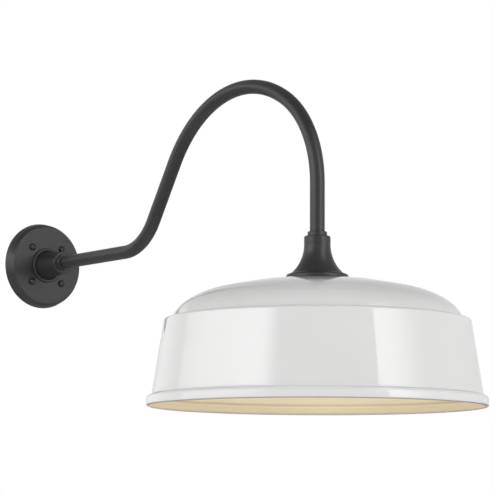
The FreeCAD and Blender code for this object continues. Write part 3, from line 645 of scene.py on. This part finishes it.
# %% Shade
outline = softened([
    *dome_corners(DOME_BENDS, CREASE_R, CREASE_H),
    (CREASE_R, CREASE_H, 0.001),
    (SHOULDER_R, SHOULDER_H, 0.003),
    (BAND_R, BAND_H, 0.002),
    (BEAD_R, BEAD_H, 0.005),
    (BEAD_R, 0, 0.0025),
    (LIP_R, 0, 0),
])
print("points in the shade's outline:", len(outline))
shade = turned("spun_shade", outline, SHADE_FOOT)
wall = walled(shade, SHEET)
wall.use_even_offset, wall.material_offset = True, 1
dress(shade, "white_gloss_enamel", "cream_enamel")
stands_for(applied(shade), "fixture", "white_enamel", "shade")

# %% [markdown]
# ## Threads
# Screws, the hollow rod, the lamp's cap and the brass shell all have threads, which the solids leave
# plain. A ridge could be swept along a helix round a core, but then two skins cross. Here a flat grid is
# rolled into a cylinder whose radius follows the height and the angle together, so the ridge climbs by one
# pitch in each turn. A rounded thread is a cosine and a sharp one is a triangle, and one number mixes them.

# %% Thread tree
SEAM_GAP, FULL_TURN = 0.000001, 2 * math.pi

board, given = growing_tree("rolled_thread", Root=0.002, Depth=0.0004, Pitch=0.0008, Length=0.01,
                            Tip=0.0004, Rounded=0.0, Sides=41, Rows=100)
sheet = board.add("GeometryNodeMeshGrid",
                  sockets={"Vertices X": given.other("Sides"), "Vertices Y": given.other("Rows")})
spot = board.part(board.add("GeometryNodeInputPosition"), "X")
turn, height = spot + 0.5, (spot.other("Y") + 0.5) * given.other("Length")
cycle = height / given.other("Pitch") - turn
sharp = (cycle.math("FRACT") * 2 - 1).math("ABSOLUTE")
soft = (cycle * FULL_TURN).math("COSINE") * 0.5 + 0.5
ridge = sharp + (soft - sharp) * given.other("Rounded")
end_gap = height.math("MINIMUM", given.other("Length") - height)
fade = (end_gap / given.other("Tip")).math("MINIMUM", 1.0)
radius = given.other("Root") + given.other("Depth") * ridge * fade
angle = turn * FULL_TURN
rolled = board.add("ShaderNodeCombineXYZ", sockets={
    "X": radius * angle.math("COSINE"), "Y": radius * angle.math("SINE"), "Z": height})
skin = board.add("GeometryNodeSetPosition", sockets={"Geometry": sheet, "Position": rolled})
closed = board.add("GeometryNodeMergeByDistance", sockets={"Geometry": skin, "Distance": SEAM_GAP})
THREAD = grown(board, given, closed)
print("nodes in the thread tree:", len(THREAD.nodes))

# %% [markdown]
# ## Joining threads to plain ends
# A thread comes out of its tree as an open tube. The flat ends, bands and heads beside it are turned with
# the same number of sides, so their edges meet point for point. Merging the points makes one closed skin,
# and its faces are then turned outwards together.

# %% Cut a thread and join skins
JOIN_GAP, THREAD_EDGE = 0.000004, 45


def threaded(finish, foot, length, around, pitch, rows_per_turn=8, **sizes):
    """A threaded skin that stands on a height, as a plain mesh."""
    rows = round(length / pitch * rows_per_turn) + 1
    skin = grow(drawn("thread"), THREAD, finish,
                Length=length, Pitch=pitch, Sides=around + 1, Rows=rows, **sizes)
    skin = applied(skin, edge_degrees=None)
    skin.data.transform(Matrix.Translation((0, 0, foot)))
    return skin


def joined(name, finish, around, thread, *outlines):
    """One piece from a threaded skin and the turned skins that meet its edges."""
    shape = bmesh.new()
    shape.from_mesh(thread.data)
    bpy.data.objects.remove(thread)
    for corners in outlines:
        part = turned(name, [Vector(corner) for corner in corners], Vector((0, 0, 0)), around)
        shape.from_mesh(part.data)
        bpy.data.objects.remove(part)
    bmesh.ops.remove_doubles(shape, verts=shape.verts, dist=JOIN_GAP)
    bmesh.ops.recalc_face_normals(shape, faces=shape.faces)
    piece = drawn(name)
    shape.to_mesh(piece.data)
    shape.free()
    dress(piece, finish)
    piece.data.shade_smooth()
    piece.data.set_sharp_from_angle(angle=math.radians(THREAD_EDGE))
    return piece


def at_shade(piece):
    """Moves a piece made about the origin to the shade's axis."""
    piece.data.transform(Matrix.Translation((0, SHADE_Y, 0)))
    return piece


print("threads can be cut")

# %% [markdown]
# ## The hollow rod, the lamp's cap and the brass shell
# The hollow rod has a sharp thread of nearly 1 mm pitch from end to end. The lamp's cap and the brass shell
# that it screws into share a rounded thread, 3.6 mm to a turn, rolled into thin sheet, so Solidify gives
# them their wall. The shell's grooves go outwards from its bore, so the lamp can be drawn straight out.

# %% Hollow rod
ROD_ROOT, ROD_RIDGE, ROD_BORE, ROD_PITCH, ROD_TIP, ROD_SIDES = 0.0046, 0.0005, 0.0036, 0.00094, 0.0009, 40
rod_low, rod_high = (corner.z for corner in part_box("fitter_nipple"))
rod = threaded("zinc_plate", rod_low, rod_high - rod_low, ROD_SIDES, ROD_PITCH,
               Root=ROD_ROOT, Depth=ROD_RIDGE, Tip=ROD_TIP)
rod = joined("threaded_hollow_rod", "zinc_plate", ROD_SIDES, rod,
             [(ROD_ROOT, rod_high), (ROD_BORE, rod_high), (ROD_BORE, rod_low), (ROD_ROOT, rod_low)])
stands_for(at_shade(rod), "fixture", "zinc_steel", "fitter_nipple")

# %% [markdown]
# ## Two pieces of rolled sheet
# The cap and the shell differ only in their sizes and their plain ends, so one helper rolls both.

# %% Cap and shell
LAMP_PITCH, LAMP_TIP, LAMP_SHEET, LAMP_SIDES = 0.00363, 0.0018, 0.0003, 72


def rolled_sheet(name, finish, low, high, root, ridge, *outlines):
    """Thin sheet with the lamp's rounded thread between two heights, and plain sheet beyond them."""
    sheet = threaded(finish, low, high - low, LAMP_SIDES, LAMP_PITCH, rows_per_turn=16,
                     Root=root, Depth=ridge, Tip=LAMP_TIP, Rounded=1.0)
    sheet = joined(name, finish, LAMP_SIDES, sheet, *outlines)
    walled(sheet, LAMP_SHEET)
    return at_shade(applied(sheet, THREAD_EDGE))


CAP_CREST, CAP_ROOT = 0.01305, 0.01235
CAP_RIM, CAP_BAND, CAP_SHOULDER, CAP_TOP = 0.0015, 0.0022, 0.0010, 0.0003
cap_low, cap_high = (corner.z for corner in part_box("lamp_cap"))
thread_low, thread_high = cap_low + CAP_BAND, cap_high - CAP_SHOULDER
cap = rolled_sheet("rolled_lamp_cap", "lamp_aluminium", thread_low, thread_high,
                   CAP_ROOT, CAP_CREST - CAP_ROOT,
                   [(CAP_CREST, cap_low), (CAP_CREST, cap_low + CAP_RIM), (CAP_ROOT, thread_low)],
                   [(CAP_ROOT, thread_high), (CAP_CREST, cap_high - CAP_TOP), (CAP_CREST, cap_high)])
stands_for(cap, "lamp", "lamp_aluminium", "lamp_cap")

SHELL_ROOT, SHELL_RIDGE, SHELL_LIP, SHELL_HOLE = 0.01347, 0.00045, 0.0012, 0.008
shell_low, shell_high = (corner.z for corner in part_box("socket_shell"))
thread_low, thread_high = shell_low + SHELL_LIP, shell_high - SHELL_LIP
shell = rolled_sheet("rolled_brass_shell", "contact_brass", thread_low, thread_high,
                     SHELL_ROOT, SHELL_RIDGE,
                     [(SHELL_ROOT, shell_low), (SHELL_ROOT, thread_low)],
                     [(SHELL_ROOT, thread_high), (SHELL_ROOT, shell_high), (SHELL_HOLE, shell_high)])
stands_for(shell, "fixture", "contact_brass", "socket_shell")

# %% [markdown]
# ## The four plate screws
# Each is a glossy pan head on a threaded shank. One screw is made upright, with the shank's plain tip
# and the head turned on the same number of sides as the thread. The four on the plate are copies of it.

# %% One screw
SCREW_ROOT, SCREW_CREST, SCREW_LENGTH, SCREW_TIP, SCREW_PITCH = 0.0019, 0.0024, 0.038, 0.0014, 0.00106
HEAD_R, HEAD_H, HEAD_RIM, SCREW_SIDES = 0.0052, 0.0034, 0.0008, 24
shank = threaded("black_screw_paint", SCREW_TIP - SCREW_LENGTH, SCREW_LENGTH - SCREW_TIP, SCREW_SIDES,
                 SCREW_PITCH, Root=SCREW_ROOT, Depth=SCREW_CREST - SCREW_ROOT, Tip=0.0011)
head = softened([(HEAD_R, HEAD_RIM, 0), (HEAD_R, HEAD_H, HEAD_H - HEAD_RIM), (0, HEAD_H, 0)], step=9.0)
screw = joined("plate_screw_heads", "black_screw_paint", SCREW_SIDES, shank,
               [(0, -SCREW_LENGTH), (SCREW_ROOT, SCREW_TIP - SCREW_LENGTH)],
               [(SCREW_ROOT, 0), (HEAD_R, 0), *[tuple(point) for point in head]])
print("one screw has", len(screw.data.polygons), "faces")

# %% [markdown]
# ## The cross recess
# A driver's recess is deep and tapered, so it is cut as a shape and not painted or bumped. Two blades
# that cross are taken out of the head by Boolean modifiers, and then the blades are deleted.

# %% Cross recess
BLADE_TOP, BLADE_FOOT = (HEAD_H + 0.0004, 0.0032, 0.00065), (HEAD_H - 0.0019, 0.0011, 0.0003)
BLADE_FACES = [(3, 2, 1, 0), (4, 5, 6, 7), (0, 1, 5, 4), (1, 2, 6, 5), (2, 3, 7, 6), (3, 0, 4, 7)]


def blade(turn):
    """A blade of the cross recess: long and wide at the top, and drawn in at its foot."""
    corners = [(x * length, y * width, z) for z, length, width in (BLADE_FOOT, BLADE_TOP)
               for x, y in ((-1, -1), (1, -1), (1, 1), (-1, 1))]
    cutter = drawn("blade", corners, faces=BLADE_FACES)
    cutter.data.transform(Matrix.Rotation(turn, 4, "Z"))
    return cutter


blades = [blade(math.radians(degrees)) for degrees in (30, 120)]
for cutter in blades:
    recess = screw.modifiers.new("recess", "BOOLEAN")
    recess.operation, recess.solver, recess.object = "DIFFERENCE", "EXACT", cutter
applied(screw)
for cutter in blades:
    bpy.data.objects.remove(cutter)
print("with its recess it has", len(screw.data.polygons))

# %% [markdown]
# ## Four copies on their circle
# Copies could be placed by hand. A small tree sets them instead: one screw on each point of a circle,
# which is then turned to face out of the wall and moved to the plate's face. The circle, the number of
# screws and the face's distance are named inputs. The circle is turned by half a step, because the
# screws stand between upright and level.

# %% Four copies on their circle
SCREW_CIRCLE, SCREW_COUNT = 0.0365, 4
board, given = growing_tree("set_round_a_circle", Circle=SCREW_CIRCLE, Face=PLATE_FACE, Count=SCREW_COUNT)
spots = board.add("GeometryNodeMeshCircle",
                  sockets={"Vertices": given.other("Count"), "Radius": given.other("Circle")})
half_step = board.add("ShaderNodeCombineXYZ", sockets={"Z": math.pi / given.other("Count")})
spots = board.add("GeometryNodeTransform", sockets={"Geometry": spots, "Rotation": half_step})
copies = board.add("GeometryNodeInstanceOnPoints", sockets={"Points": spots, "Instance": given})
out_of_wall = board.add("ShaderNodeCombineXYZ", sockets={"Y": given.other("Face") * -1})
copies = board.add("GeometryNodeTransform", sockets={
    "Geometry": copies, "Rotation": (math.pi / 2, 0, 0), "Translation": out_of_wall})
CIRCLE = grown(board, given, copies)
grow(screw, CIRCLE, "black_screw_paint", Circle=SCREW_CIRCLE, Face=PLATE_FACE, Count=SCREW_COUNT)
stands_for(applied(screw), "fixture", "black_screw", "plate_screws")

# %% [markdown]
# ## The backdrop
# The light floats in front of white, as in a cut-out studio picture. The world is white to the camera
# alone. On the object it is a pale grey that darkens upwards, a little less in reflections, so that white
# enamel stays below white and keeps its shape.

# %% World
HORIZON, UPWARD_LOSS, MIRRORED_GAIN, MIRRORED_LOSS = 0.78, 0.66, 0.2, 0.02
DARKENS_FROM, DARKENS_TO = 0.1, 0.9
world = bpy.data.worlds.new("studio")
bpy.context.scene.world = world
world.use_nodes = True
sky = Board(world.node_tree)
background = world.node_tree.nodes["Background"]
path = sky.add("ShaderNodeLightPath")
seen = path.other("Is Camera Ray")
mirrored = path.other("Is Glossy Ray").math("MAXIMUM", path.other("Is Transmission Ray"))
upward = sky.part(sky.add("ShaderNodeTexCoord", out="Generated"), "Z")
ceiling = sky.ramp(upward, DARKENS_FROM, DARKENS_TO, "SMOOTHSTEP")
lit = HORIZON - ceiling * UPWARD_LOSS + mirrored * (ceiling * MIRRORED_GAIN - MIRRORED_LOSS)
sky.feed(background.inputs["Strength"], lit + seen * (1 - lit))
sky.feed(background.inputs["Color"], (1, 1, 1, 1))
print("grey at the horizon:", HORIZON)

# %% [markdown]
# ## The floor
# A pale floor below keeps the shadow. It glows a little for the camera alone, which lifts it towards the
# backdrop without adding light to the object. From its underside it is clear, so that the lamp can be
# looked at from below.

# %% Floor
SPAN, FLOOR_Z, FLOOR_LIFT = 9.0, -0.72, 0.3
floor_corners = [(x * SPAN, y * SPAN, FLOOR_Z) for x, y in ((-1, -1), (1, -1), (1, 1), (-1, 1))]
floor = drawn("floor", floor_corners, faces=[(0, 1, 2, 3)])
pale = Finish("pale_floor", (0.82, 0.82, 0.82), 0.7, Emission_Strength=1.0)
to_camera = pale.add("ShaderNodeLightPath", out="Is Camera Ray")
pale.set(Emission_Color=pale.blend(to_camera, (0, 0, 0, 1), (FLOOR_LIFT, FLOOR_LIFT, FLOOR_LIFT, 1)))
from_below = pale.add("ShaderNodeNewGeometry", out="Backfacing")
clear = pale.add("ShaderNodeBsdfTransparent")
painted = Wire(pale, pale.shader.outputs[0])
one_sided = pale.add("ShaderNodeMixShader", sockets={0: from_below, 1: painted, 2: clear})
pale.feed(pale.tree.nodes["Material Output"].inputs["Surface"], one_sided)
dress(floor, "pale_floor")
print("floor at", FLOOR_Z)

# %% [markdown]
# ## The lamps
# Long soft boxes at the sides draw the two bright streaks down the band, and fading them out towards
# one end gives each streak its soft side. A small box low on the right lights the plate's face, and a weak
# one behind on the left lifts the far side of the shade. Two weak ones below stand for the light that a
# white table throws up. A spot or a point lamp would show in the gloss as a dot. No camera sees a box.

# %% Soft boxes
ALL_ACROSS = (-1.0, -0.5), (1.5, 2.0)


def soft_box(name, place, aim, width, height, glow, fades=ALL_ACROSS):
    """A rectangle of light that fades in and then out, at shares of its width. A glow of 1 is white."""
    data = bpy.data.lights.new(name, "AREA")
    data.shape, data.size, data.size_y = "RECTANGLE", width, height
    data.energy = glow * math.pi * width * height
    data.use_nodes = True
    cloth = Board(data.node_tree)
    across = cloth.part(cloth.add("ShaderNodeNewGeometry", out="Parametric"), "X")
    rise, fall = (cloth.ramp(across, start, end, "SMOOTHSTEP") for start, end in fades)
    cloth.feed(data.node_tree.nodes["Emission"].inputs["Strength"], rise * (1 - fall))
    box = linked(name, data)
    box.location = place
    box.rotation_mode = "QUATERNION"
    box.rotation_quaternion = (aim - place).to_track_quat("-Z", "Y")
    box.visible_camera = False
    return box


def beside(azimuth, height, distance=2.4):
    """A place seen from the shade's foot, turned from the camera's direction, in degrees."""
    angle = math.radians(azimuth) - TURN
    return SHADE_FOOT + Vector((math.sin(angle) * distance, -math.cos(angle) * distance, height))


AIM = SHADE_FOOT + Vector((0, 0, 0.1))
soft_box("left_high_box", beside(-71, 1.035), AIM, 4.4, 0.67, glow=3.15,
         fades=((-0.25, 0.75), (0.78, 1.0)))
soft_box("left_low_box", beside(-64, 0.25), AIM, 3.4, 0.5, glow=1.5, fades=((-0.4, 0.4), (0.72, 1.0)))
soft_box("right_box", beside(73, 1.3), AIM, 3.2, 2.8, glow=3.0, fades=((-0.05, 0.03), (0.1, 0.64)))
soft_box("plate_box", beside(77, 0.5, 2.48), AIM, 1.2, 0.4, glow=1.6)
soft_box("back_left_box", beside(-140, 0.55), AIM, 2.2, 1.2, glow=0.3, fades=((0.0, 0.5), (0.6, 1.0)))
soft_box("floor_glow", SHADE_FOOT + Vector((0, 0, -0.44)), SHADE_FOOT, 1.2, 1.2, glow=0.35)
fill = soft_box("inner_fill", SHADE_FOOT - Vector((0, 0, 0.05)), SHADE_FOOT, 0.3, 0.3, glow=1.03)
fill.visible_glossy = False

# %% [markdown]
# ## The view transform
# The colours are shown through the Standard view transform.

# %% View transform
bpy.context.scene.view_settings.view_transform = "Standard"
